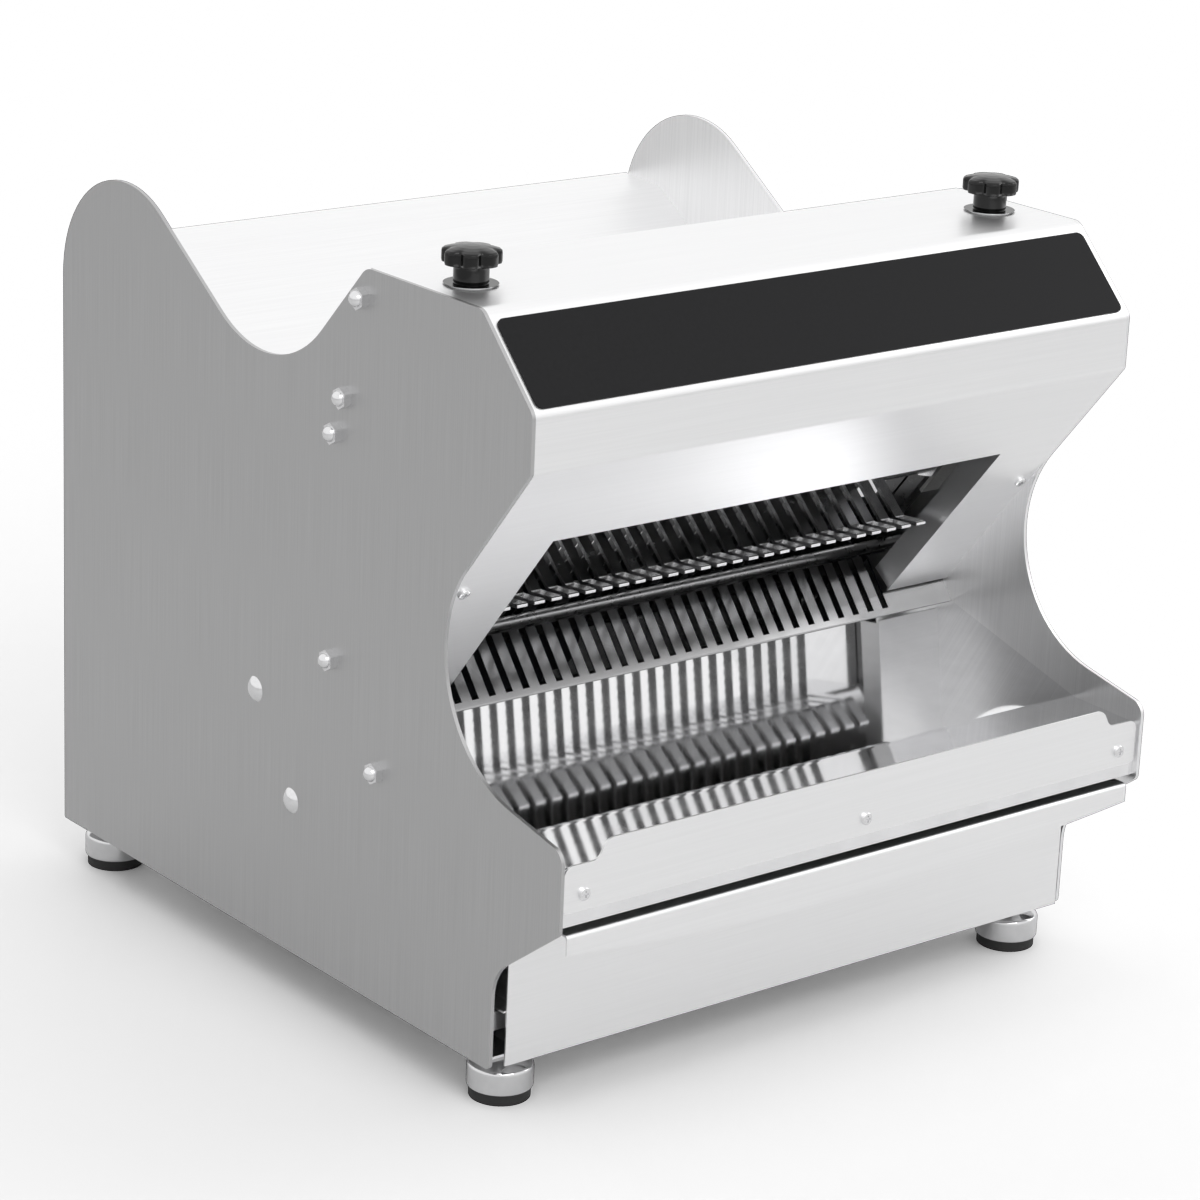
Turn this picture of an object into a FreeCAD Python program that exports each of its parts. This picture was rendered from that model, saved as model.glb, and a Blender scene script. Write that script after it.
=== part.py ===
"""Table-top bread slicer: a sheet steel body with a sloping hopper, two reciprocating blade frames,
a hold-down comb set by two knobs, a slicing tray in front and a crumb drawer below.

Profiles of the sheet metal are written as (p, z) pairs: p is the distance forward from the rear edge
of the side panels, z the height above their lower edge. The front of the machine faces -Y.
"""
import FreeCAD
import Part
import math
import os

os.makedirs("parts", exist_ok=True)
doc = FreeCAD.newDocument("BreadSlicer")
V = FreeCAD.Vector

SIZES = {
    "depth": (669, "side panel, rear edge to nose"),
    "width": (580, "over the outer faces of the side panels"),
    "panel_thick": (3, "side panel sheet"),
    "flange_width": (38, "foot flange folded inwards"),
    "foot_height": (36, "foot, ground to side panel"),
    "foot_radius": (25, "foot"),
    "foot_place": (259, "foot centre from the middle"),
    "foot_pad": (8, "rubber part of the foot"),
    "foot_rear": (30.5, "rear foot from the rear edge"),
    "foot_front": (567.5, "front foot from the rear edge"),
    "sheet": (1.5, "hood, chute, comb and tray sheet"),
    "bend": (3, "inner radius of a sheet bend"),
    "cutout_half": (221, "hood cut-out, half its width"),
    "cutout_top": (382, "hood cut-out, top edge above the panel foot"),
    "glass_half": (284, "dark panel, half its width"),
    "glass_long": (73, "dark panel along the slant"),
    "glass_thick": (1.5, "dark panel"),
    "glass_corner": (6, "dark panel corner radius"),
    "comb_pitch": (16, "pitch of the comb fingers"),
    "finger_width": (9.5, "upper comb finger"),
    "finger_thick": (3.5, "upper comb finger"),
    "finger_count": (27, "upper comb fingers"),
    "blade_count": (26, "blades in both frames"),
    "blade_thick": (1, "blade"),
    "blade_wide": (12, "blade, and thickness of its frame"),
    "blade_gap": (1, "blade frame from the middle plane"),
    "blade_tilt": (51, "lean of the blades from level"),
    "frame_p": (345, "lower bar of the blade frames"),
    "frame_z": (237.3, "lower bar of the blade frames"),
    "frame_long": (334, "between the bars of a blade frame"),
    "frame_bar": (20, "bar of a blade frame"),
    "frame_half": (274, "blade frame, half its width"),
    "frame_stile": (12, "stile of a blade frame"),
    "slot_width": (6.5, "blade slot in the lower comb"),
    "slide_gap": (0.3, "clearance of sliding pieces"),
    "run_gap": (0.05, "radial clearance of a turning shaft"),
    "rail_start": (105, "guide rail start along the blades"),
    "rail_long": (180, "guide rail"),
    "rail_web": (276, "guide rail web from the middle"),
    "rail_rib": (268, "guide rail ribs from the middle"),
    "rail_lip": (3, "outer ribs of a guide rail"),
    "knob_place": (252.7, "knob axis from the middle"),
    "knob_p": (494, "knob axis from the rear edge"),
    "knob_radius": (22.25, "knob cap"),
    "knob_hub": (13.25, "knob hub"),
    "knob_tall": (27, "knob"),
    "knob_neck": (11, "knob hub below the cap"),
    "knob_bore": (14, "screw into the knob"),
    "knob_lobes": (7, "grip lobes of a knob"),
    "flute_radius": (6, "flute between two lobes"),
    "flute_deep": (4, "flute into the cap"),
    "hood_top": (560, "hood top above the panel foot"),
    "washer_radius": (17, "knob washer"),
    "washer_thick": (1, "knob washer"),
    "screw_radius": (3, "knob screw"),
    "screw_foot": (404, "lower end of the knob screw"),
    "pad_low": (414, "threaded pad of the comb, lower face"),
    "pad_high": (430, "threaded pad of the comb, upper face"),
    "arm_thick": (4, "comb arm"),
    "crank_p": (260, "crankshaft from the rear edge"),
    "crank_z": (132.3, "crankshaft above the panel foot"),
    "crank_throw": (18, "crank throw"),
    "crank_disc": (28, "crank disc radius"),
    "disc_thick": (8, "crank disc"),
    "shaft_radius": (10, "crankshaft"),
    "rod_place": (245, "connecting rod from the middle"),
    "rod_thick": (8, "connecting rod"),
    "rod_eye": (9, "connecting rod eye radius"),
    "pin_radius": (4, "wrist pin and crank pin"),
    "wrist_drop": (57, "wrist pin below the lower bar"),
    "rod_waist": (5, "connecting rod shank, half its width"),
    "housing_deep": (20, "flange bearing depth"),
    "motor_p": (130, "motor axis from the rear edge"),
    "motor_z": (150, "motor axis above the panel foot"),
    "motor_radius": (52, "motor body"),
    "motor_half": (110, "motor, half its length"),
    "motor_shaft_radius": (7, "motor shaft"),
    "pulley_place": (190, "belt line from the middle"),
    "pulley_small": (20, "motor pulley groove radius"),
    "pulley_large": (50, "crank pulley groove radius"),
    "pulley_core": (10, "groove width"),
    "pulley_cheek": (3, "pulley cheek"),
    "cheek_high": (5, "pulley cheek above the groove"),
    "belt_thick": (5, "belt"),
    "plate_low": (88, "motor plate lower face"),
    "plate_thick": (3, "motor plate"),
    "tie_radius": (5, "tie rod"),
    "nut_across": (13, "acorn nut over its corners, half"),
    "bolt_radius": (4, "side bolts"),
    "drawer_half": (268, "drawer box, half its width"),
    "drawer_low": (14, "drawer floor"),
    "drawer_high": (70, "drawer walls"),
    "drawer_back": (60, "drawer back from the rear edge"),
    "drawer_sheet": (1.2, "drawer sheet"),
    "front_half": (280, "drawer front, half its width"),
    "front_p": (598.5, "drawer front, rear face"),
    "front_low": (3.5, "drawer front lower edge"),
    "front_high": (129.5, "drawer handle shelf"),
    "skirt_p": (666, "handle skirt plane"),
    "skirt_low": (100, "handle skirt, middle of its lower edge"),
    "skirt_end": (114.5, "handle skirt, ends of its lower edge"),
    "rail_low": (30, "drawer rail lower face"),
    "rail_high": (45, "drawer rail upper face"),
    "lip_p": (666.3, "lip plate outer face"),
    "lip_half": (285, "lip plate, half its width"),
    "lip_low": (146.5, "lip plate lower edge"),
    "lip_end": (182.5, "lip plate end height"),
    "lip_high": (197, "lip plate middle height"),
    "lip_step": (247, "half the raised middle of the lip plate"),
    "base_thick": (2, "base plate"),
    "base_end": (585, "base plate, front edge"),
    "inlet_half": (19.5, "inlet body, half its width"),
    "inlet_low": (10.5, "inlet body, lower face"),
    "inlet_high": (37.5, "inlet body, upper face"),
    "inlet_deep": (26, "inlet body, front face"),
    "inlet_wall": (5.5, "wall round the mouth of the inlet"),
    "inlet_rim": (5.5, "inlet rim past the body"),
    "inlet_mouth": (16, "depth of the mouth of the inlet"),
    "bearing_flange": (6, "bearing flange"),
    "plate_rear": (50, "motor plate, rear edge"),
    "plate_long": (150, "motor plate, rear to front"),
    "skirt_cut": (6, "cut past each face of the handle skirt"),
    "under_screw": (527, "hood screw from the rear edge"),
    "screw_head": (5, "cross-head screw head radius"),
    "head_tall": (2.4, "cross-head screw head"),
}

sheet = doc.addObject("Spreadsheet::Sheet", "Sizes")
for row, (alias, (value, note)) in enumerate(SIZES.items(), start=1):
    sheet.set(f"A{row}", note)
    sheet.set(f"B{row}", str(value))
    sheet.setAlias(f"B{row}", alias)
doc.recompute()


def size(alias):
    """Value of one named size."""
    return float(getattr(sheet, alias))


HALF = size("width") / 2
INNER = HALF - size("panel_thick")
TOP = size("hood_top")
SHEET = size("sheet")
LEAN = math.radians(size("blade_tilt"))
ALONG = (math.cos(LEAN), math.sin(LEAN))
AHEAD = (math.sin(LEAN), -math.cos(LEAN))

# Outline of a side panel: p, z and corner radius.
PANEL = [(0, 0, 2), (0, 640, 92), (302.6, 436.7, 105), (418.4, TOP, 15), (556.2, TOP, 12),
         (617.5, 498.7, 10), (617.5, 456, 5), (442.4, 239.8, 101), (size("depth"), 194.5, 12),
         (size("depth"), 133, 7), (594, 77, 40), (594, 0, 5)]
HOOD = [(420, TOP), (556.2, TOP), (617.5, 498.7), (617.5, 455.5), (440.6, 236.5)]
HOOD_BENDS = [12, 10, 5]
HOOD_FLANGE = [(555.9, 380.5), (519, 367), (424.6, 252), (441.6, 239)]
CHUTE = [(0, 493), (46, 490.4), (366, 291.5)]
LOWER_COMB = [(415.8, 260.3), (449, 219.5), (449, 189.4)]
COMB_SLOT = [(416.8, 263.8), (447.8, 225.7), (442.4, 221.3), (411.4, 259.3)]
TRAY = [(449.6, 218.9), (595, 179.7), (size("lip_p") - SHEET, 178.4), (size("lip_p") - SHEET, 136)]
FINGER = [(488, 310.5), (463, 308), (392, 373)]
COMB_MARGIN = [(437, 332), (392, 373)]
COMB_STRIP = [(408, 358.4), (392, 373)]
COMB_ARM = [(395, 368), (437, 329.5), (452, 332), (506, 410), (506, size("pad_high")),
            (482, size("pad_high")), (420, 390)]
FRONT_WALL = [(420.8, TOP - SHEET - 0.7), (383, 425)]
WALL_NUTS = [(415.7, 537.3), (396.4, 459), (385.8, 429.9)]
TIE_RODS = [(385.5, 254.6), (446.9, 184.3)]
BEARING_BOLTS = [(283.4, 199.9), (334.3, 124.7)]
BEARING_PLATE = [(272, 214, 12), (298, 212, 10), (351, 126, 12), (334, 108, 10), (250, 104, 14),
                 (232, 130, 14), (240, 160, 12)]
BLADE_HOME = (size("frame_p"), size("frame_z"))


def at(p, z):
    """Profile place turned into the Y and Z of the machine."""
    return (size("depth") / 2 - p, z + size("foot_height"))


def along_blade(along, ahead):
    """Profile place a distance along the blades and ahead of their middle plane."""
    p = BLADE_HOME[0] + along * ALONG[0] + ahead * AHEAD[0]
    z = BLADE_HOME[1] + along * ALONG[1] + ahead * AHEAD[1]
    return (p, z)


def unit(a, b):
    """Unit vector from a to b."""
    reach = math.hypot(b[0] - a[0], b[1] - a[1])
    return ((b[0] - a[0]) / reach, (b[1] - a[1]) / reach)


def sheet_loop(points, thick, bends):
    """Closed outline of a bent sheet whose one face follows the points.

    Seen along the points the sheet lies to the right, or to the left with a negative thickness.
    Each face of a bend keeps the same centre, so the outer radius is the inner one plus the sheet.
    """
    steps = [unit(a, b) for a, b in zip(points, points[1:])]
    upper = [(points[0][0], points[0][1], 0)]
    first = steps[0]
    lower = [(points[0][0] + first[1] * thick, points[0][1] - first[0] * thick, 0)]
    for here, into, out, radius in zip(points[1:], steps, steps[1:], bends):
        turn = into[0] * out[1] - into[1] * out[0]
        cosine = into[0] * out[0] + into[1] * out[1]
        share = thick / (1 + cosine)
        side = (into[1] + out[1], -into[0] - out[0])
        wide = radius + abs(thick)
        opens = (turn > 0) == (thick > 0)
        upper.append((here[0], here[1], radius if opens else wide))
        lower.append((here[0] + side[0] * share, here[1] + side[1] * share,
                      wide if opens else radius))
    last = steps[-1]
    end = points[-1]
    upper.append((end[0], end[1], 0))
    lower.append((end[0] + last[1] * thick, end[1] - last[0] * thick, 0))
    return upper + lower[::-1]


def side_view(points):
    """Profile points, with or without radii, as sketch points of the YZ plane."""
    return [at(q[0], q[1]) + tuple(q[2:]) for q in points]


def arc(centre, start, end, radius):
    """Circular arc drawn anticlockwise from start to end."""
    first = math.atan2(start[1] - centre[1], start[0] - centre[0])
    last = math.atan2(end[1] - centre[1], end[0] - centre[0])
    if last < first:
        last += 2 * math.pi
    circle = Part.Circle(V(centre[0], centre[1], 0), V(0, 0, 1), radius)
    return Part.ArcOfCircle(circle, first, last)


def draw_loop(sketch, points):
    """Add a closed loop to a sketch. A third value at a point is the radius of that corner."""
    joints = []
    curves = []
    count = len(points)
    for index, point in enumerate(points):
        here = point[:2]
        radius = point[2] if len(point) > 2 else 0
        if not radius:
            joints.append((here, here))
            continue
        back = unit(here, points[index - 1][:2])
        onward = unit(here, points[(index + 1) % count][:2])
        half = math.acos(max(-1, min(1, back[0] * onward[0] + back[1] * onward[1]))) / 2
        reach = radius / math.tan(half)
        middle = unit((0, 0), (back[0] + onward[0], back[1] + onward[1]))
        centre = (here[0] + middle[0] * radius / math.sin(half),
                  here[1] + middle[1] * radius / math.sin(half))
        start = (here[0] + back[0] * reach, here[1] + back[1] * reach)
        end = (here[0] + onward[0] * reach, here[1] + onward[1] * reach)
        left = back[0] * onward[1] - back[1] * onward[0] < 0
        curves.append(arc(centre, start, end, radius) if left else arc(centre, end, start, radius))
        joints.append((start, end))
    for index, (start, end) in enumerate(joints):
        after = joints[(index + 1) % count][0]
        if math.dist(end, after) > 1e-6:
            curves.append(Part.LineSegment(V(end[0], end[1], 0), V(after[0], after[1], 0)))
    for curve in curves:
        sketch.addGeometry(curve, False)


def new_body(label):
    """Empty body for one sub-part."""
    body = doc.addObject("PartDesign::Body", label)
    body.Label = label
    return body


def origin_part(body, role):
    """Plane or axis of a body's own origin."""
    return [part for part in body.Origin.OriginFeatures if part.Role == role][0]


def sketch_on(body, role, loops, circles=(), shift="0"):
    """Sketch on one of the body's origin planes, moved along that plane's normal."""
    sketch = body.newObject("Sketcher::SketchObject", body.Name + "_sketch")
    sketch.AttachmentSupport = [(origin_part(body, role), "")]
    sketch.MapMode = "FlatFace"
    sketch.setExpression("AttachmentOffset.Base.z", shift)
    for loop in loops:
        draw_loop(sketch, loop)
    for x, y, radius in circles:
        sketch.addGeometry(Part.Circle(V(x, y, 0), V(0, 0, 1), radius), False)
    return sketch


def pad(body, sketch, length):
    """Pad a sketch along its normal by a named length."""
    feature = body.newObject("PartDesign::Pad", body.Name + "_pad")
    feature.Profile = sketch
    feature.setExpression("Length", length)
    return feature


def pocket(body, sketch, length):
    """Cut a sketch along its normal by a named length, and check that it removes something."""
    doc.recompute()
    before = body.Shape.Volume
    feature = body.newObject("PartDesign::Pocket", body.Name + "_pocket")
    feature.Profile = sketch
    feature.Reversed = True
    feature.setExpression("Length", length)
    doc.recompute()
    if body.Shape.Volume > before - 1e-3:
        raise RuntimeError("nothing cut from " + body.Label)
    return feature


def repeat(body, feature, length, count):
    """Repeat a feature across the machine over a total length."""
    pattern = body.newObject("PartDesign::LinearPattern", body.Name + "_pattern")
    pattern.Originals = [feature]
    pattern.Direction = (origin_part(body, "X_Axis"), [""])
    pattern.setExpression("Length", length)
    pattern.setExpression("Occurrences", count)
    body.Tip = pattern
    return pattern


def turn(body, loop):
    """Turn a half section round the upright axis of a body."""
    view = sketch_on(body, "XZ_Plane", [loop])
    turned = body.newObject("PartDesign::Revolution", body.Name + "_turned")
    turned.Profile = view
    turned.ReferenceAxis = (origin_part(body, "Z_Axis"), [""])
    turned.Angle = 360
    return turned


def rectangle(x0, y0, x1, y1, radius=0):
    """Rectangle loop with equal corner radii."""
    return [(x0, y0, radius), (x1, y0, radius), (x1, y1, radius), (x0, y1, radius)]


def cylinder_x(name, x0, x1, p, z, radius):
    """Cylinder lying across the machine between two x places."""
    solid = doc.addObject("Part::Cylinder", name)
    solid.setExpression("Radius", radius)
    solid.Height = x1 - x0
    y, height = at(p, z)
    solid.Placement = FreeCAD.Placement(V(x0, y, height), FreeCAD.Rotation(V(0, 1, 0), 90))
    return solid


def cylinder_z(name, x, p, z0, z1, radius):
    """Upright cylinder between two heights above the panel foot."""
    solid = doc.addObject("Part::Cylinder", name)
    solid.setExpression("Radius", radius)
    solid.Height = z1 - z0
    y, height = at(p, z0)
    solid.Placement = FreeCAD.Placement(V(x, y, height), FreeCAD.Rotation())
    return solid


def box(name, x0, x1, p0, p1, z0, z1):
    """Box between x places, p places and heights above the panel foot."""
    solid = doc.addObject("Part::Box", name)
    solid.Length = x1 - x0
    solid.Width = p1 - p0
    solid.Height = z1 - z0
    y, height = at(p1, z0)
    solid.Placement = FreeCAD.Placement(V(x0, y, height), FreeCAD.Rotation())
    return solid


def join(label, solids):
    """Fuse solids that are one piece of metal."""
    whole = doc.addObject("Part::MultiFuse", label)
    whole.Label = label
    whole.Shapes = solids
    return whole


def group(label, solids):
    """Equal small pieces kept together."""
    whole = doc.addObject("Part::Compound", label)
    whole.Label = label
    whole.Links = solids
    return whole


def less(label, base, tool):
    """One solid with another cut out of it."""
    whole = doc.addObject("Part::Cut", label)
    whole.Label = label
    whole.Base = base
    whole.Tool = tool
    return whole


pieces = []


def side_panel(label, side):
    """Side panel with its fastener holes and the flange that carries the feet."""
    body = new_body(label)
    start = "-Sizes.width / 2" if side < 0 else "Sizes.width / 2 - Sizes.panel_thick"
    holes = []
    for p, z in WALL_NUTS + TIE_RODS + BEARING_BOLTS:
        holes.append(at(p, z) + (size("bolt_radius") + size("slide_gap"),))
    outline = sketch_on(body, "YZ_Plane", [side_view(PANEL)], holes, start)
    pad(body, outline, "Sizes.panel_thick")
    edge = start if side < 0 else "Sizes.width / 2 - Sizes.flange_width"
    low = at(584, 0)
    high = at(10, size("panel_thick"))
    flange = sketch_on(body, "YZ_Plane", [rectangle(low[0], low[1], high[0], high[1])], (), edge)
    pad(body, flange, "Sizes.flange_width")
    pieces.append(body)


def across(label, loop, half=None, circles=()):
    """Bent sheet that spans the machine."""
    body = new_body(label)
    start = half or "Sizes.width / 2 - Sizes.panel_thick"
    sketch = sketch_on(body, "YZ_Plane", [side_view(loop)], circles, "-(" + start + ")")
    pad(body, sketch, "2 * (" + start + ")")
    pieces.append(body)
    return body


for label, side in (("left_side_panel", -1), ("right_side_panel", 1)):
    side_panel(label, side)

# Hood: one folded sheet, opened below for the bread, with a flange along each side of the opening.
hood = across("hood_cover", sheet_loop(HOOD, SHEET, HOOD_BENDS))
half = size("cutout_half")
opening = sketch_on(hood, "XZ_Plane",
                    [rectangle(-half, at(0, 200)[1], half, at(0, size("cutout_top"))[1])],
                    (), "-Sizes.depth / 2")
pocket(hood, opening, "Sizes.depth")
for start in ("-Sizes.cutout_half - Sizes.sheet", "Sizes.cutout_half"):
    flange = sketch_on(hood, "YZ_Plane", [side_view(HOOD_FLANGE)], (), start)
    pad(hood, flange, "Sizes.sheet")
bores = []
for x in (-size("knob_place"), size("knob_place")):
    bores.append((x, at(size("knob_p"), 0)[0], size("screw_radius") + size("run_gap")))
drill = sketch_on(hood, "XY_Plane", [], bores,
                  "Sizes.hood_top + Sizes.foot_height - 2 * Sizes.sheet")
pocket(hood, drill, "3 * Sizes.sheet")

# Dark panel on the slant.
glass = new_body("hood_dark_panel")
face = sketch_on(glass, "XY_Plane",
                 [rectangle(-size("glass_half"), -size("glass_long") / 2, size("glass_half"),
                            size("glass_long") / 2, size("glass_corner"))])
pad(glass, face, "Sizes.glass_thick")
slant_middle = at((HOOD[1][0] + HOOD[2][0]) / 2 + 2.4, (HOOD[1][1] + HOOD[2][1]) / 2 - 2.4)
glass.Placement = FreeCAD.Placement(V(0, slant_middle[0], slant_middle[1]),
                                    FreeCAD.Rotation(V(1, 0, 0), 45))
pieces.append(glass)

across("chute", sheet_loop(CHUTE, SHEET, [30]))

# Lower comb: fingers that rise from the ramp to the blades, with a fold down to the tie rod.
lower = across("lower_comb", sheet_loop(LOWER_COMB, SHEET, [1]))
slot = sketch_on(lower, "YZ_Plane", [side_view(COMB_SLOT)], (),
                 "-Sizes.finger_count / 2 * Sizes.comb_pitch - Sizes.slot_width / 2")
slots = pocket(lower, slot, "Sizes.slot_width")
repeat(lower, slots, "Sizes.finger_count * Sizes.comb_pitch", "Sizes.finger_count + 1")

across("ramp_tray", sheet_loop(TRAY, SHEET, [20, 5]))

# Hopper front wall with a flange at each end that carries three welded studs.
wall = across("hopper_front_wall", sheet_loop(FRONT_WALL, SHEET, []))
ear = [(FRONT_WALL[0][0], FRONT_WALL[0][1]), (FRONT_WALL[1][0] - 3, FRONT_WALL[1][1] - 10),
       (FRONT_WALL[1][0] + 15, FRONT_WALL[1][1] - 14), (FRONT_WALL[0][0] + 14, FRONT_WALL[0][1])]
for start in ("-(Sizes.width / 2 - Sizes.panel_thick)",
              "Sizes.width / 2 - Sizes.panel_thick - Sizes.sheet"):
    flange = sketch_on(wall, "YZ_Plane", [side_view(ear)], (), start)
    pad(wall, flange, "Sizes.sheet")

# Rear cover and base plate.
rear = new_body("rear_cover")
low = at(0, size("panel_thick") + size("base_thick"))[1]
high = at(0, CHUTE[0][1] - SHEET - size("slide_gap"))[1]
notch = size("inlet_half") + size("slide_gap")
lintel = at(0, size("inlet_high") + size("slide_gap"))[1]
panel = sketch_on(rear, "XZ_Plane",
                  [[(-INNER, low), (-notch, low), (-notch, lintel), (notch, lintel), (notch, low),
                    (INNER, low), (INNER, high), (-INNER, high)]], (), "Sizes.sheet - Sizes.depth / 2")
pad(rear, panel, "Sizes.sheet")
pieces.append(rear)
base = box("base_plate", -INNER, INNER, SHEET, size("base_end"), size("panel_thick"),
           size("panel_thick") + size("base_thick"))
pieces.append(base)

# Lip plate: raised in the middle, with three screws.
lip = new_body("lip_plate")
low, end, high = (at(0, size(name))[1] for name in ("lip_low", "lip_end", "lip_high"))
step, reach = size("lip_step"), size("lip_half")
outline = [(-reach, low, 4), (reach, low, 4), (reach, end, 8), (step + 8, end, 8), (step, high, 10),
           (-step, high, 10), (-step - 8, end, 8), (-reach, end, 8)]
lip_face = sketch_on(lip, "XZ_Plane", [outline], (), "Sizes.lip_p - Sizes.sheet - Sizes.depth / 2")
pad(lip, lip_face, "Sizes.sheet")
pieces.append(lip)


def cross_screw(name, x, p, z, lean):
    """Pan head with a cross recess, turned by its lean from facing up."""
    head = new_body(name)
    tall, wide = size("head_tall"), size("screw_head")
    turn(head, [(0, 0), (wide, 0), (wide, tall, 1.4), (0, tall)])
    arm, wide = size("screw_head") * 0.55, size("screw_head") * 0.14
    cross = [(-arm, -wide), (-wide, -wide), (-wide, -arm), (wide, -arm), (wide, -wide), (arm, -wide),
             (arm, wide), (wide, wide), (wide, arm), (-wide, arm), (-wide, wide), (-arm, wide)]
    recess = sketch_on(head, "XY_Plane", [cross], (), "Sizes.head_tall / 2")
    pocket(head, recess, "Sizes.head_tall")
    y, height = at(p, z)
    head.Placement = FreeCAD.Placement(V(x, y, height), FreeCAD.Rotation(V(1, 0, 0), lean))
    return head


pieces.append(group("lip_screws", [cross_screw(f"lip_screw_{n}", x, size("lip_p"), 159.5, 90)
                                   for n, x in enumerate((-267, 0, 267), start=1)]))
under_lean = math.atan2(HOOD[3][1] - HOOD[4][1], HOOD[3][0] - HOOD[4][0])
under_z = HOOD[4][1] + (size("under_screw") - HOOD[4][0]) * math.tan(under_lean)
pieces.append(group("hood_screws", [
    cross_screw(f"hood_screw_{n}", x, size("under_screw"), under_z, 180 - math.degrees(under_lean))
    for n, x in enumerate((-276, 276), start=1)]))

# Upper comb: fingers, rear strip, side margins, arms and the threaded pads on the knob screws.
comb = new_body("upper_comb")
side_edge = size("knob_place") + size("arm_thick") / 2
strip = sketch_on(comb, "YZ_Plane", [side_view(sheet_loop(COMB_STRIP, -size("finger_thick"), []))],
                  (), "-(Sizes.knob_place + Sizes.arm_thick / 2)")
pad(comb, strip, "2 * Sizes.knob_place + Sizes.arm_thick")
finger_loop = sheet_loop(FINGER, -size("finger_thick"), [3])
finger_loop[0] = finger_loop[0][:2] + (1.7,)
finger_loop[-1] = finger_loop[-1][:2] + (1.7,)
finger = sketch_on(comb, "YZ_Plane", [side_view(finger_loop)], (),
                   "-(Sizes.finger_count - 1) / 2 * Sizes.comb_pitch - Sizes.finger_width / 2")
fingers = pad(comb, finger, "Sizes.finger_width")
repeat(comb, fingers, "(Sizes.finger_count - 1) * Sizes.comb_pitch", "Sizes.finger_count")
margin_loop = side_view(sheet_loop(COMB_MARGIN, -size("finger_thick"), []))
for start in ("-(Sizes.knob_place + Sizes.arm_thick / 2)",
              "(Sizes.finger_count - 1) / 2 * Sizes.comb_pitch + Sizes.finger_width / 2"):
    margin = sketch_on(comb, "YZ_Plane", [margin_loop], (), start)
    pad(comb, margin, "Sizes.knob_place + Sizes.arm_thick / 2 - Sizes.finger_width / 2"
        " - (Sizes.finger_count - 1) / 2 * Sizes.comb_pitch")
for side in ("-", ""):
    arm = sketch_on(comb, "YZ_Plane", [side_view(COMB_ARM)], (),
                    side + "Sizes.knob_place - Sizes.arm_thick / 2")
    pad(comb, arm, "Sizes.arm_thick")
for x in (-size("knob_place"), size("knob_place")):
    y = at(size("knob_p"), 0)[0]
    block = sketch_on(comb, "XY_Plane", [rectangle(x - 8, y - 10, x + 8, y + 10, 2)], (),
                      "Sizes.pad_low + Sizes.foot_height")
    pad(comb, block, "Sizes.pad_high - Sizes.pad_low")
for x in (-size("knob_place"), size("knob_place")):
    y = at(size("knob_p"), 0)[0]
    thread = sketch_on(comb, "XY_Plane", [], [(x, y, size("screw_radius") + size("run_gap"))],
                       "Sizes.pad_low + Sizes.foot_height - 30")
    pocket(comb, thread, "Sizes.pad_high - Sizes.pad_low + 40")
pieces.append(comb)


def knob(label, x):
    """Turned knob: hub, flared cap and rounded crown, bored from below for its screw."""
    body = new_body(label)
    tall, hub, cap = size("knob_tall"), size("knob_hub"), size("knob_radius")
    bore = size("screw_radius")
    neck, deep = size("knob_neck"), size("knob_bore")
    loop = [(bore, 0), (hub, 0, 1), (hub, neck, 2), (cap, neck + 2, 2), (cap, tall, 5), (0, tall),
            (0, deep), (bore, deep)]
    turn(body, loop)
    doc.recompute()
    count = int(size("knob_lobes"))
    far = cap + size("flute_radius") - size("flute_deep")
    flutes = [(far * math.cos(2 * math.pi * n / count), far * math.sin(2 * math.pi * n / count),
               size("flute_radius")) for n in range(count)]
    pocket(body, sketch_on(body, "XY_Plane", [], flutes, "Sizes.knob_neck"),
           "Sizes.knob_tall")
    y, height = at(size("knob_p"), TOP + size("washer_thick") + size("slide_gap"))
    body.Placement = FreeCAD.Placement(V(x, y, height), FreeCAD.Rotation())
    pieces.append(body)


for label, side in (("left", -1), ("right", 1)):
    x = side * size("knob_place")
    knob("knob_" + label, x)
    seat = TOP + size("washer_thick") + size("slide_gap")
    stem = cylinder_z("stem_" + label, x, size("knob_p"), size("screw_foot"),
                      seat + size("knob_bore"), "Sizes.screw_radius")
    collar = cylinder_z("collar_" + label, x, size("knob_p"), TOP - SHEET - 6 - size("slide_gap"),
                        TOP - SHEET - size("slide_gap"), "Sizes.screw_radius + 5")
    pieces.append(join("knob_screw_" + label, [stem, collar]))
washers = []
for label, side in (("left", -1), ("right", 1)):
    x = side * size("knob_place")
    disc = cylinder_z("washer_disc_" + label, x, size("knob_p"), TOP, TOP + size("washer_thick"),
                      "Sizes.washer_radius")
    bore = cylinder_z("washer_bore_" + label, x, size("knob_p"), TOP - 1, TOP + 2,
                      "Sizes.screw_radius + Sizes.slide_gap")
    washers.append(less("washer_" + label, disc, bore))
pieces.append(group("knob_washers", washers))


def tilted(label, x, along, ahead):
    """Body laid in the blade plane: local X across, local Y along the blades, local Z ahead."""
    body = new_body(label)
    y, height = at(*along_blade(along, ahead))
    body.Placement = FreeCAD.Placement(V(x, y, height),
                                       FreeCAD.Rotation(V(1, 0, 0), 180 - size("blade_tilt")))
    pieces.append(body)
    return body


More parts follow.
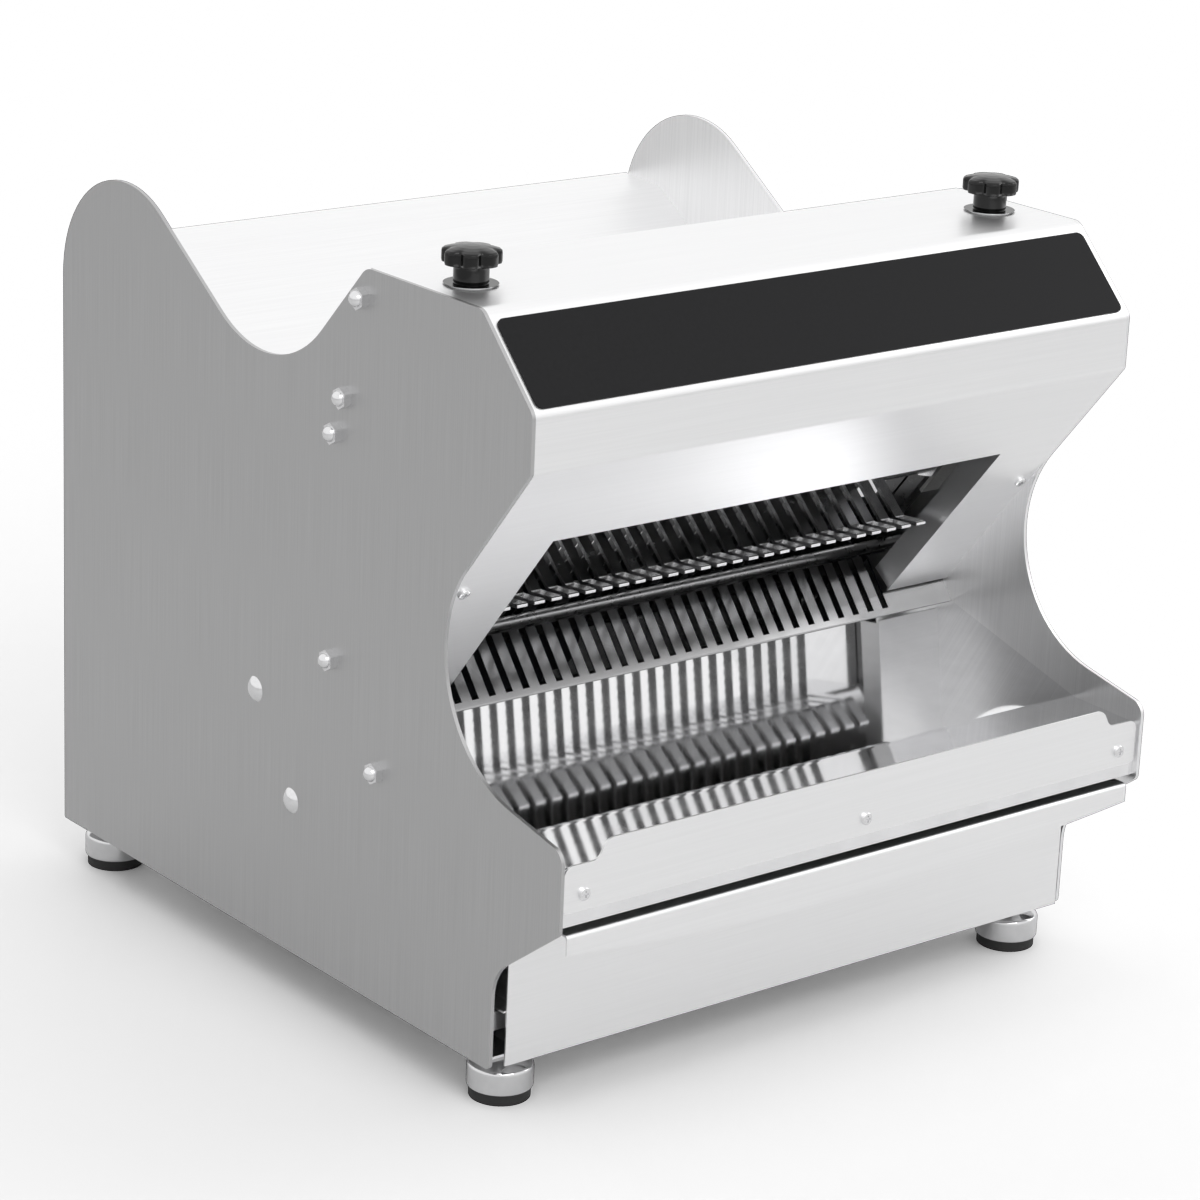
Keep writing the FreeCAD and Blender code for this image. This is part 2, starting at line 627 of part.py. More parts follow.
def blade_set(letter, ahead, side, first):
    """Blade frame with the lug of its connecting rod, and every second blade."""
    frame = tilted("blade_frame_" + letter, 0, 0, ahead)
    wide, bar = size("frame_half"), size("frame_bar") / 2
    outer = rectangle(-wide, -bar, wide, size("frame_long") + bar, 3)
    inner_edge = wide - size("frame_stile")
    inner = rectangle(-inner_edge, bar, inner_edge, size("frame_long") - bar, 2)
    pad(frame, sketch_on(frame, "XY_Plane", [outer, inner]), "Sizes.blade_wide")
    near = size("rod_place") + size("rod_thick") / 2 + size("slide_gap")
    lug_x = sorted((side * near, side * (near + 8)))
    lug = rectangle(lug_x[0], -size("wrist_drop") - 9, lug_x[1], -bar)
    pad(frame, sketch_on(frame, "XY_Plane", [lug]), "Sizes.blade_wide")
    blades = tilted("blades_" + letter, 0, 0, ahead)
    x = first - size("blade_thick") / 2
    one = rectangle(x, bar, x + size("blade_thick"), size("frame_long") - bar)
    strip = pad(blades, sketch_on(blades, "XY_Plane", [one]), "Sizes.blade_wide")
    blades.AllowCompound = True
    repeat(blades, strip, "(Sizes.blade_count - 2) * Sizes.comb_pitch", "Sizes.blade_count / 2")


first_blade = -(size("blade_count") - 1) / 2 * size("comb_pitch")
blade_set("a", size("blade_gap"), 1, first_blade)
blade_set("b", -size("blade_gap") - size("blade_wide"), -1, first_blade + size("comb_pitch"))

# Guide rails: a web on the side panel and three ribs that hold both frames' stiles.
thick = size("blade_wide") + size("blade_gap") + size("slide_gap")
for label, side in (("left", -1), ("right", 1)):
    rail = tilted("guide_rail_" + label, 0, size("rail_start"), 0)
    deep = thick + size("rail_lip")
    rib = size("blade_gap") - size("slide_gap")
    web, tip = side * size("rail_web"), side * size("rail_rib")
    wall_x = side * INNER
    comb_shape = [(wall_x, -deep), (tip, -deep), (tip, -thick), (web, -thick), (web, -rib), (tip, -rib),
                  (tip, rib), (web, rib), (web, thick), (tip, thick), (tip, deep), (wall_x, deep)]
    # The XZ plane's normal is local -Y, so the section is drawn at the far end and grows back.
    pad(rail, sketch_on(rail, "XZ_Plane", [comb_shape], (), "-Sizes.rail_long"), "Sizes.rail_long")

# Crankshaft in three parts, a disc on each side of the two connecting rods.
crank = (size("crank_p"), size("crank_z"))
near = size("rod_place") - size("rod_thick") / 2 - size("slide_gap")
far = size("rod_place") + size("rod_thick") / 2 + size("slide_gap")
disc = size("disc_thick")
solids = [cylinder_x("crank_middle", -near, near, *crank, "Sizes.shaft_radius")]
for label, side in (("left", -1), ("right", 1)):
    for name, a, b, radius in (("inner_disc", near - disc, near, "Sizes.crank_disc"),
                               ("outer_disc", far, far + disc, "Sizes.crank_disc"),
                               ("stub", far, INNER - 1, "Sizes.shaft_radius")):
        x0, x1 = sorted((side * a, side * b))
        solids.append(cylinder_x(f"crank_{name}_{label}", x0, x1, *crank, radius))
pieces.append(join("crankshaft", solids))

# Flange bearings behind the mushroom-headed bolts.
for label, side in (("left", -1), ("right", 1)):
    body = new_body("bearing_" + label)
    start = "-(Sizes.width / 2 - Sizes.panel_thick)" if side < 0 else \
        "Sizes.width / 2 - Sizes.panel_thick - Sizes.bearing_flange"
    holes = [at(*q) + (size("bolt_radius") + size("slide_gap"),) for q in BEARING_BOLTS]
    hole = at(*crank) + (size("shaft_radius") + size("run_gap"),)
    pad(body, sketch_on(body, "YZ_Plane", [side_view(BEARING_PLATE)], holes + [hole], start),
        "Sizes.bearing_flange")
    start = "-(Sizes.width / 2 - Sizes.panel_thick)" if side < 0 else \
        "Sizes.width / 2 - Sizes.panel_thick - Sizes.housing_deep"
    ring = at(*crank) + (24,)
    pad(body, sketch_on(body, "YZ_Plane", [], [ring, hole], start), "Sizes.housing_deep")
    pieces.append(body)


def rod(letter, side, ahead):
    """Connecting rod from its wrist pin to the crank pin that it carries."""
    wrist = along_blade(-size("wrist_drop"), ahead)
    sense = 1 if ahead > 0 else -1
    throw = size("crank_throw") * sense
    pin = (crank[0] + throw * AHEAD[0], crank[1] + throw * AHEAD[1])
    body = new_body("con_rod_" + letter)
    start = f"{'-' if side < 0 else ''}Sizes.rod_place - Sizes.rod_thick / 2"
    a, b = at(*wrist), at(*pin)
    way = unit(a, b)
    hand = (-way[1], way[0])
    waist = size("rod_waist")
    shank = [(a[0] + hand[0] * waist, a[1] + hand[1] * waist),
             (b[0] + hand[0] * waist, b[1] + hand[1] * waist),
             (b[0] - hand[0] * waist, b[1] - hand[1] * waist),
             (a[0] - hand[0] * waist, a[1] - hand[1] * waist)]
    pad(body, sketch_on(body, "YZ_Plane", [shank], (), start), "Sizes.rod_thick")
    eyes = [q + (size("rod_eye"),) for q in (a, b)]
    pad(body, sketch_on(body, "YZ_Plane", [], eyes, start), "Sizes.rod_thick")
    bore = a + (size("pin_radius") + size("run_gap"),)
    pocket(body, sketch_on(body, "YZ_Plane", [], [bore], start), "Sizes.rod_thick")
    pieces.append(body)
    lug_far = size("rod_place") + size("rod_thick") / 2 + size("slide_gap")
    x0, x1 = sorted((side * (size("rod_place") - size("rod_thick") / 2 - 2), side * lug_far))
    pieces.append(cylinder_x("wrist_pin_" + letter, x0, x1, *wrist, "Sizes.pin_radius"))


rod("a", 1, size("blade_gap") + size("blade_wide") / 2)
rod("b", -1, -size("blade_gap") - size("blade_wide") / 2)


def pulley(label, p, z, radius):
    """Grooved pulley: a core between two cheeks, bored for its shaft."""
    middle = -size("pulley_place")
    half_core = size("pulley_core") / 2
    cheek = size("pulley_cheek")
    core = cylinder_x(label + "_core", middle - half_core, middle + half_core, p, z,
                      f"Sizes.{radius}")
    solids = [core]
    for n, x0 in enumerate((middle - half_core - cheek, middle + half_core)):
        solids.append(cylinder_x(f"{label}_cheek_{n}", x0, x0 + cheek, p, z,
                                 f"Sizes.{radius} + Sizes.cheek_high"))
    return join(label + "_blank", solids)


bored = "Sizes.shaft_radius"
tool = cylinder_x("crank_pulley_bore", -220, -160, *crank, bored)
pieces.append(less("crank_pulley", pulley("crank_pulley", *crank, "pulley_large"), tool))
motor = (size("motor_p"), size("motor_z"))
tool = cylinder_x("motor_pulley_bore", -220, -160, *motor, "Sizes.motor_shaft_radius")
pieces.append(less("motor_pulley", pulley("motor_pulley", *motor, "pulley_small"), tool))
pieces.append(cylinder_x("motor_shaft", -205, -60, *motor, "Sizes.motor_shaft_radius"))

# V-belt round both pulleys.
belt = new_body("v_belt")
small = at(*motor)
large = at(*crank)
reach = math.dist(small, large)
heading = math.atan2(large[1] - small[1], large[0] - small[0])


def belt_loop(sketch, extra):
    """Two arcs and two tangents round the pulleys, a distance outside their grooves."""
    r1, r2 = size("pulley_small") + extra, size("pulley_large") + extra
    lean = math.acos((r1 - r2) / reach)
    ends = []
    for turn in (lean, -lean):
        way = (math.cos(heading + turn), math.sin(heading + turn))
        ends.append(((small[0] + way[0] * r1, small[1] + way[1] * r1),
                     (large[0] + way[0] * r2, large[1] + way[1] * r2)))
    sketch.addGeometry(arc(small, ends[0][0], ends[1][0], r1), False)
    sketch.addGeometry(arc(large, ends[1][1], ends[0][1], r2), False)
    for a, b in ends:
        sketch.addGeometry(Part.LineSegment(V(a[0], a[1], 0), V(b[0], b[1], 0)), False)


belt_sketch = sketch_on(belt, "YZ_Plane", [], (),
                        "-Sizes.pulley_place - Sizes.pulley_core / 2 + Sizes.slide_gap")
belt_loop(belt_sketch, size("slide_gap"))
belt_loop(belt_sketch, size("slide_gap") + size("belt_thick"))
pad(belt, belt_sketch, "Sizes.pulley_core - 2 * Sizes.slide_gap")
pieces.append(belt)

# Motor with its foot, and the folded cross plate that carries it.
half = size("motor_half")
barrel = cylinder_x("motor_barrel", -half, half, *motor, "Sizes.motor_radius")
foot = box("motor_foot", -80, 80, motor[0] - 40, motor[0] + 40,
           size("plate_low") + size("plate_thick"), motor[1] - 20)
blank = join("motor_blank", [barrel, foot])
tool = cylinder_x("motor_bore", -half - 1, -58, *motor,
                  "Sizes.motor_shaft_radius + Sizes.run_gap")
pieces.append(less("motor_body", blank, tool))
plate = new_body("motor_plate")
low, high = at(0, size("plate_low"))[1], at(0, size("plate_low") + size("plate_thick"))[1]
wall_in = INNER - size("plate_thick")
fold = high + 25
u_loop = [(-INNER, low), (INNER, low), (INNER, fold), (wall_in, fold), (wall_in, high),
          (-wall_in, high), (-wall_in, fold), (-INNER, fold)]
pad(plate, sketch_on(plate, "XZ_Plane", [u_loop], (), "Sizes.plate_rear - Sizes.depth / 2"),
    "Sizes.plate_long")
pieces.append(plate)

# Tie rods between the panels, and the bolts and nuts on the outer faces.
for n, place in enumerate(TIE_RODS, start=1):
    pieces.append(cylinder_x(f"tie_rod_{n}", -INNER, INNER, *place, "Sizes.tie_radius"))


def acorn_nut(name, side, p, z):
    """Hexagon nut with a domed end and its bolt through the panel."""
    outer = side * HALF
    y, height = at(p, z)
    hexagon = doc.addObject("Part::Prism", name + "_hexagon")
    hexagon.Polygon = 6
    hexagon.Circumradius = 8.5
    hexagon.Height = 6.5
    hexagon.Placement = FreeCAD.Placement(V(outer, y, height),
                                          FreeCAD.Rotation(V(0, 1, 0), side * 90))
    dome = doc.addObject("Part::Sphere", name + "_dome")
    dome.Radius = 6.2
    dome.Placement = FreeCAD.Placement(V(outer + side * 5.5, y, height), FreeCAD.Rotation())
    x0, x1 = sorted((side * INNER, outer))
    bolt = cylinder_x(name + "_bolt", x0, x1, p, z, "Sizes.bolt_radius")
    return join(name, [hexagon, dome, bolt])


def mushroom_bolt(name, side, p, z):
    """Low domed head with its shank through the panel and the bearing flange."""
    y, height = at(p, z)
    outer = side * HALF
    head = doc.addObject("Part::Sphere", name + "_sphere")
    head.Radius = 14
    head.Placement = FreeCAD.Placement(V(outer - side * 9.6, y, height), FreeCAD.Rotation())
    x0, x1 = sorted((outer, outer + side * 10))
    keep = cylinder_x(name + "_keep", x0, x1, p, z, "Sizes.foot_radius")
    cap = doc.addObject("Part::Common", name + "_cap")
    cap.Base = head
    cap.Tool = keep
    x0, x1 = sorted((side * (INNER - 9), outer))
    shank = cylinder_x(name + "_shank", x0, x1, p, z, "Sizes.bolt_radius")
    return join(name, [cap, shank])


for label, side in (("left", -1), ("right", 1)):
    nuts = [acorn_nut(f"nut_{label}_{n}", side, *q) for n, q in enumerate(WALL_NUTS, start=1)]
    pieces.append(group("wall_nuts_" + label, nuts))
    bolts = [mushroom_bolt(f"bolt_{label}_{n}", side, *q)
             for n, q in enumerate(BEARING_BOLTS, start=1)]
    pieces.append(group("bearing_bolts_" + label, bolts))
    ends = [acorn_nut(f"tie_nut_{label}_{n}", side, *q) for n, q in enumerate(TIE_RODS, start=1)]
    pieces.append(group("tie_nuts_" + label, ends))


def foot(label, x, p):
    """Chromed dome of a foot."""
    body = new_body(label)
    low, tall, wide = size("foot_pad"), size("foot_height"), size("foot_radius")
    loop = [(0, low), (wide, low, 2), (wide, tall - 10, 4), (12, tall - 3, 3), (12, tall), (0, tall)]
    turn(body, loop)
    body.Placement = FreeCAD.Placement(V(x, at(p, 0)[0], 0), FreeCAD.Rotation())
    pieces.append(body)


rubber = []
for across_name, side in (("left", -1), ("right", 1)):
    for along_name in ("rear", "front"):
        x, p = side * size("foot_place"), size("foot_" + along_name)
        foot(f"foot_{along_name}_{across_name}", x, p)
        rubber.append(cylinder_z(f"rubber_{along_name}_{across_name}", x, p,
                                 -size("foot_height"), size("foot_pad") - size("foot_height"),
                                 "Sizes.foot_radius - 2"))
pieces.append(group("foot_rubbers", rubber))

# Crumb drawer: open box with a runner lip along each side.
drawer = new_body("crumb_drawer")
skin = size("drawer_sheet")
half = size("drawer_half")
low, high = at(0, size("drawer_low"))[1], at(0, size("drawer_high"))[1]
front = size("front_p")
back_y, front_y = at(size("drawer_back"), 0)[0], at(front, 0)[0]
blank = sketch_on(drawer, "XY_Plane", [rectangle(-half, front_y, half, back_y)], (),
                  "Sizes.drawer_low + Sizes.foot_height")
pad(drawer, blank, "Sizes.drawer_high - Sizes.drawer_low")
lip_half = INNER - 5
lips = sketch_on(drawer, "XY_Plane", [rectangle(-lip_half, at(front, 0)[0], lip_half, back_y)], (),
                 "Sizes.rail_high + Sizes.slide_gap + Sizes.foot_height")
pad(drawer, lips, "Sizes.sheet")
hollow = sketch_on(drawer, "XY_Plane",
                   [rectangle(-half + skin, front_y + skin, half - skin, back_y - skin, 6)], (),
                   "Sizes.drawer_low + Sizes.drawer_sheet + Sizes.foot_height")
pocket(drawer, hollow, "Sizes.drawer_high - Sizes.drawer_low")
pieces.append(drawer)

front_piece = new_body("drawer_front")
shape = [(size("front_p"), size("front_low")), (size("front_p"), size("front_high")),
         (size("skirt_p"), size("front_high")), (size("skirt_p"), size("skirt_low"))]
loop = sheet_loop(shape[::-1], -SHEET, [2, 2])
sketch = sketch_on(front_piece, "YZ_Plane", [side_view(loop)], (), "-Sizes.front_half")
pad(front_piece, sketch, "2 * Sizes.front_half")
half = size("front_half") + 1
sag_low, sag_end = at(0, size("skirt_low"))[1], at(0, size("skirt_end"))[1]
rise = sag_end - sag_low
radius = (half * half + rise * rise) / (2 * rise)
curve = sketch_on(front_piece, "XZ_Plane", [], (), "Sizes.skirt_p - Sizes.skirt_cut - Sizes.depth / 2")
curve.addGeometry(arc((0, sag_low + radius), (-half, sag_end), (half, sag_end), radius), False)
under = sag_low - 5
for a, b in (((-half, sag_end), (-half, under)), ((-half, under), (half, under)),
             ((half, under), (half, sag_end))):
    curve.addGeometry(Part.LineSegment(V(a[0], a[1], 0), V(b[0], b[1], 0)), False)
pocket(front_piece, curve, "2 * Sizes.skirt_cut")
pieces.append(front_piece)

for label, side in (("left", -1), ("right", 1)):
    x0, x1 = sorted((side * (size("drawer_half") + 2), side * INNER))
    pieces.append(box("drawer_rail_" + label, x0, x1, 90, 592, size("rail_low"), size("rail_high")))

# Mains inlet in the rear cover.
half, low, high = size("inlet_half"), size("inlet_low"), size("inlet_high")
skin, brim = size("inlet_wall"), size("inlet_rim")
socket = box("inlet_body", -half, half, SHEET, size("inlet_deep"), low, high)
rim = box("inlet_rim", -half - brim, half + brim, 0, SHEET, low - brim, high + brim)
inlet = join("inlet_blank", [socket, rim])
mouth = box("inlet_mouth", skin - half, half - skin, -1, size("inlet_mouth"), low + skin,
            high - skin)
pieces.append(less("mains_inlet", inlet, mouth))

doc.recompute()
failed = [item.Label for item in doc.Objects if "Invalid" in item.State or "Error" in item.State]
if failed:
    raise RuntimeError("failed: " + ", ".join(failed))
for piece in pieces:
    if piece.Shape.isNull() or not piece.Shape.isValid():
        raise RuntimeError("bad shape: " + piece.Label)
for piece in pieces:
    piece.Shape.exportStep("parts/" + piece.Label + ".step")
print(len(pieces), "pieces")
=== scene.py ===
"""Looks for the table-top bread slicer, laid out as an add-on.

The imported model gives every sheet, bar and bolt its shape. This file adds the finishes, the
moulded star knobs, the serrated blades and the studio: floor, lights and camera.
"""
import math

import bpy
import numpy as np
from bpy.props import FloatProperty, FloatVectorProperty, IntProperty, PointerProperty
from bpy.types import Operator, Panel, PropertyGroup
from mathutils import Matrix, Vector


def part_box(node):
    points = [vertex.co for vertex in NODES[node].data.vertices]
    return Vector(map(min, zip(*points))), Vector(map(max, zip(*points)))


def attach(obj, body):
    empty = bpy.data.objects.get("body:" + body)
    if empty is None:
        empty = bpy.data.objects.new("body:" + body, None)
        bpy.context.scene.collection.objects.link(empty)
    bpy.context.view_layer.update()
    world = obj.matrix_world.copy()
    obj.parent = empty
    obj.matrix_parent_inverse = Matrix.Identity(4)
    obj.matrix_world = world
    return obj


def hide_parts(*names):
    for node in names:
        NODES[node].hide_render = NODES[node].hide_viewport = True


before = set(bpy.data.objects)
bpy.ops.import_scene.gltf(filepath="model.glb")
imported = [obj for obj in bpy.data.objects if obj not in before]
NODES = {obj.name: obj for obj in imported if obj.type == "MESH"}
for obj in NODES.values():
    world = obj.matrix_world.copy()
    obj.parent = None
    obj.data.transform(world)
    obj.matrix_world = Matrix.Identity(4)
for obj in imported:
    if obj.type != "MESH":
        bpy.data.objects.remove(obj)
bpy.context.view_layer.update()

bl_info = {
    "name": "Bread Slicer Looks",
    "version": (1, 0, 0),
    "blender": (4, 5, 0),
    "location": "3D View > Sidebar > Slicer",
    "description": "Finishes, star knobs, blades and studio of a table-top bread slicer",
    "category": "Object",
}

# The part of a noise value that a range or a colour ramp uses.
NOISE_LOW, NOISE_HIGH = 0.3, 0.7
# How far the bump nodes may raise a metal and a moulded surface, in metres.
METAL_RELIEF, SKIN_RELIEF = 0.0002, 0.0003
# Grain directions: a small stretch draws the noise out along that axis.
UPRIGHT, ACROSS, EVEN = (1, 1, 0.01), (0.01, 1, 1), (1, 1, 1)
# Colour of black rubber and plastic, and the metal of the blades and their frames.
BLACK = (0.02, 0.02, 0.02)
BLADE_METAL = {"grey": 0.1, "roughness": 0.3, "scale": 200.0}
# Outer planes of the hood: outward normal and distance from the origin in metres.
HOOD_PLANES = (((0, 0, 1), 0.596), ((0, -0.70711, 0.70711), 0.5782), ((0, -1, 0), 0.283),
               ((0, -0.77792, -0.62837), -0.08869))
# A point this far behind the outer planes lies on the hood's inner face.
INNER_FACE = -0.0012
# How far the flanges beside the hood's cut-out are from the middle, and how near counts as one.
FLANGE_PLACE, FLANGE_BAND = 0.22175, 0.001
# Knob neck as a share of the cap's radius, and the power that flattens the lobes.
HUB_SHARE, LOBE_POWER = 0.59, 2.2
KNOB_RINGS, KNOB_STEPS = 85, 168
# Steps drawn in one scallop, and the length over which a blade widens from its tang.
SCALLOP_STEPS, TANG_BLEND = 8, 0.01
# Floor: radii of its hole, first ring and rim, then where it begins to rise and how steeply.
FLOOR_HOLE, FLOOR_NEAR, FLOOR_RIM = 0.001, 0.2, 14
FLOOR_FLAT, FLOOR_RISE = 6, 0.02
FLOOR_RINGS, FLOOR_STEPS = 40, 96
LAMP_TARGET = (0, 0, 0.3)
SENSOR_WIDTH = 36


class KnobSettings(PropertyGroup):
    lobes: IntProperty(name="Lobes", description="Grip lobes round the cap", default=7)
    depth: FloatProperty(name="Flute depth", description="How far the flutes cut into the cap",
                         default=0.0042, unit="LENGTH")
    crown: FloatProperty(name="Crown", description="Rise of the domed top", default=0.003,
                         unit="LENGTH")
    neck: FloatProperty(name="Neck height", description="Height of the plain neck below the cap",
                        default=0.013, unit="LENGTH")


class BladeSettings(PropertyGroup):
    count: IntProperty(name="Blades", description="Blades in one frame", default=13)
    pitch: FloatProperty(name="Pitch", description="Pitch of the blades in one frame",
                         default=0.032, unit="LENGTH")
    tilt: FloatProperty(name="Tilt", description="Lean of the blades from level",
                        default=math.radians(51), unit="ROTATION")
    home: FloatVectorProperty(name="Home", description="Middle of the frames' lower bars",
                              default=(0, -0.0105, 0.2733), unit="LENGTH")
    start: FloatProperty(name="Start", description="Lower end, along the blades", default=0.008,
                         unit="LENGTH")
    end: FloatProperty(name="End", description="Upper end, along the blades", default=0.326,
                       unit="LENGTH")
    tang: FloatProperty(name="Tang", description="Narrow end that the other frame passes",
                        default=0.038, unit="LENGTH")
    clear: FloatProperty(name="Clearance", description="Reach of a tang past the middle plane",
                         default=0.0007, unit="LENGTH")
    wide: FloatProperty(name="Width", description="Back to cutting edge", default=0.0105,
                        unit="LENGTH")
    thick: FloatProperty(name="Thickness", description="Blade thickness", default=0.001,
                         unit="LENGTH")
    scallop: FloatProperty(name="Scallop", description="Length of one scallop of the edge",
                           default=0.008, unit="LENGTH")
    bite: FloatProperty(name="Bite", description="Depth of a scallop", default=0.0009,
                        unit="LENGTH")


class FinishSettings(PropertyGroup):
    # Both side panels are one steel: the left is darker as painted shade, the right lighter as
    # lit.
    shaded_panel_grey: FloatProperty(name="Left panel grey", description="Reflectance of the left panel",
                              default=0.5)
    lit_panel_grey: FloatProperty(name="Right panel grey", description="Reflectance of the right panel",
                            default=0.88)
    hood_grey: FloatProperty(name="Hood grey", description="Reflectance of the hood and fronts",
                             default=0.92)
    hopper_grey: FloatProperty(name="Hopper grey", description="Reflectance of the hopper sheets",
                               default=0.93)
    grain: FloatProperty(name="Grain", description="Strength of the brushed grain", default=0.02)
    satin: FloatProperty(name="Satin roughness", description="Roughness of the brushed sheet",
                         default=0.34)
    mirror: FloatProperty(name="Mirror roughness", description="Roughness of the polished sheet",
                          default=0.06)


class StudioSettings(PropertyGroup):
    azimuth: FloatProperty(name="View azimuth", description="Heading of the view", unit="ROTATION",
                           default=math.radians(39.145))
    elevation: FloatProperty(name="View elevation", description="Height of the view",
                             unit="ROTATION", default=math.radians(18.192))
    roll: FloatProperty(name="View roll", description="Roll of the view", unit="ROTATION",
                        default=math.radians(2.461))
    place: FloatVectorProperty(name="Camera place", description="Where the camera stands",
                               default=(-1.8392, -2.2672, 1.2321), unit="LENGTH")
    lens: FloatProperty(name="Lens", description="Focal length in millimetres", default=115.06)
    key: FloatProperty(name="Key light", description="Power of the main softbox", default=24.0)
    fill: FloatProperty(name="Fill light", description="Power of the side softbox", default=9.0)
    room: FloatProperty(name="Room light", description="Strength of the even room light",
                        default=0.62)


class SlicerSettings(PropertyGroup):
    knob: PointerProperty(type=KnobSettings)
    blade: PointerProperty(type=BladeSettings)
    finish: PointerProperty(type=FinishSettings)
    studio: PointerProperty(type=StudioSettings)


def settings():
    """The scene's own copy of every setting."""
    return bpy.context.scene.slicer


def shader(name, colour, metallic, roughness):
    """New material with its node tree and its surface shader."""
    material = bpy.data.materials.new(name)
    material.use_nodes = True
    tree = material.node_tree
    surface = tree.nodes["Principled BSDF"]
    surface.inputs["Base Color"].default_value = (*colour, 1)
    surface.inputs["Metallic"].default_value = metallic
    surface.inputs["Roughness"].default_value = roughness
    return material, tree, surface


def noise(tree, stretch, scale, detail=3.0):
    """Noise in object space, drawn out along each axis that has a small stretch."""
    place = tree.nodes.new("ShaderNodeTexCoord")
    mapping = tree.nodes.new("ShaderNodeMapping")
    mapping.inputs["Scale"].default_value = stretch
    texture = tree.nodes.new("ShaderNodeTexNoise")
    texture.inputs["Scale"].default_value = scale
    texture.inputs["Detail"].default_value = detail
    tree.links.new(place.outputs["Object"], mapping.inputs["Vector"])
    tree.links.new(mapping.outputs["Vector"], texture.inputs["Vector"])
    return texture.outputs["Fac"]


def roughen(tree, surface, value, low, high):
    """Vary the roughness between two limits with the middle of a noise value."""
    ranged = tree.nodes.new("ShaderNodeMapRange")
    ranged.inputs["From Min"].default_value = NOISE_LOW
    ranged.inputs["From Max"].default_value = NOISE_HIGH
    ranged.inputs["To Min"].default_value = low
    ranged.inputs["To Max"].default_value = high
    tree.links.new(value, ranged.inputs["Value"])
    tree.links.new(ranged.outputs["Result"], surface.inputs["Roughness"])


def tint(tree, surface, value, colour, change):
    """Vary the base colour a little round its mean with a noise value."""
    ramp = tree.nodes.new("ShaderNodeValToRGB")
    stops = ramp.color_ramp.elements
    for stop, amount in zip(stops, (1 - change, 1 + change)):
        stop.color = (*[min(1, channel * amount) for channel in colour], 1)
    stops[0].position = NOISE_LOW
    stops[1].position = NOISE_HIGH
    tree.links.new(value, ramp.inputs["Fac"])
    tree.links.new(ramp.outputs["Color"], surface.inputs["Base Color"])


def bump(tree, surface, value, strength, distance):
    """Raise the surface a little with a noise value."""
    raised = tree.nodes.new("ShaderNodeBump")
    raised.inputs["Strength"].default_value = strength
    raised.inputs["Distance"].default_value = distance
    tree.links.new(value, raised.inputs["Height"])
    tree.links.new(raised.outputs["Normal"], surface.inputs["Normal"])


def brushed(name, grey, stretch, change=0.04):
    """Satin stainless sheet: fine straight grain in its tone, roughness and surface."""
    look = settings().finish
    colour = (grey, grey, grey * 1.005)
    material, tree, surface = shader(name, colour, metallic=1.0, roughness=look.satin)
    grain = noise(tree, stretch, scale=900.0, detail=2.0)
    cloud = noise(tree, EVEN, scale=6.0)
    tint(tree, surface, grain, colour, change)
    roughen(tree, surface, cloud, low=look.satin - 0.03, high=look.satin + 0.03)
    bump(tree, surface, grain, look.grain, METAL_RELIEF)
    return material


def plain_metal(name, grey, roughness, scale):
    """Bright or machined metal with a faint mottle."""
    colour = (grey, grey, grey * 1.01)
    material, tree, surface = shader(name, colour, metallic=1.0, roughness=roughness)
    mottle = noise(tree, EVEN, scale)
    tint(tree, surface, mottle, colour, change=0.03)
    roughen(tree, surface, mottle, low=roughness * 0.8, high=roughness * 1.25)
    bump(tree, surface, mottle, strength=0.02, distance=METAL_RELIEF)
    return material


def moulded(name, colour, roughness, scale, strength=0.05, specular=0.5):
    """Plastic, rubber or paint with a fine skin texture."""
    material, tree, surface = shader(name, colour, metallic=0.0, roughness=roughness)
    skin = noise(tree, EVEN, scale)
    tint(tree, surface, skin, colour, change=0.12)
    roughen(tree, surface, skin, low=roughness * 0.85, high=min(1, roughness * 1.15))
    surface.inputs["Specular IOR Level"].default_value = specular
    bump(tree, surface, skin, strength, SKIN_RELIEF)
    return material


def calculate(tree, operation, first, second=0):
    """One sum in a node tree. Each value may be a socket or a number."""
    node = tree.nodes.new("ShaderNodeMath")
    node.operation = operation
    for slot, value in zip(node.inputs, (first, second)):
        if isinstance(value, (int, float)):
            slot.default_value = value
        else:
            tree.links.new(value, slot)
    return node.outputs["Value"]


def paint_inside_shade(material, colour):
    """Paint the shade inside the hood onto its inner face as a darker tone.

    The greatest signed distance of a point past the outer planes is near zero on the outer face
    and less than minus one sheet on the inner one. The flanges beside the cut-out keep the outer
    tone.
    """
    tree = material.node_tree
    surface = tree.nodes["Principled BSDF"]
    place = tree.nodes.new("ShaderNodeTexCoord").outputs["Object"]
    past = -1.0
    for normal, distance in HOOD_PLANES:
        along = tree.nodes.new("ShaderNodeVectorMath")
        along.operation = "DOT_PRODUCT"
        along.inputs[1].default_value = normal
        tree.links.new(place, along.inputs[0])
        beyond = calculate(tree, "SUBTRACT", along.outputs["Value"], distance)
        past = calculate(tree, "MAXIMUM", past, beyond)
    split = tree.nodes.new("ShaderNodeSeparateXYZ")
    tree.links.new(place, split.inputs["Vector"])
    sideways = calculate(tree, "ABSOLUTE", split.outputs["X"])
    from_flange = calculate(tree, "SUBTRACT", sideways, FLANGE_PLACE)
    from_flange = calculate(tree, "ABSOLUTE", from_flange)
    off_flange = calculate(tree, "GREATER_THAN", from_flange, FLANGE_BAND)
    behind = calculate(tree, "LESS_THAN", past, INNER_FACE)
    # The inner face off the flanges is where the darker tone paints the shade inside the hood.
    inside = calculate(tree, "MULTIPLY", behind, off_flange)
    mix = tree.nodes.new("ShaderNodeMix")
    mix.data_type = "RGBA"
    tree.links.new(inside, mix.inputs["Factor"])
    tree.links.new(surface.inputs["Base Color"].links[0].from_socket, mix.inputs["A"])
    mix.inputs["B"].default_value = (*colour, 1)
    tree.links.new(mix.outputs["Result"], surface.inputs["Base Color"])
    return material


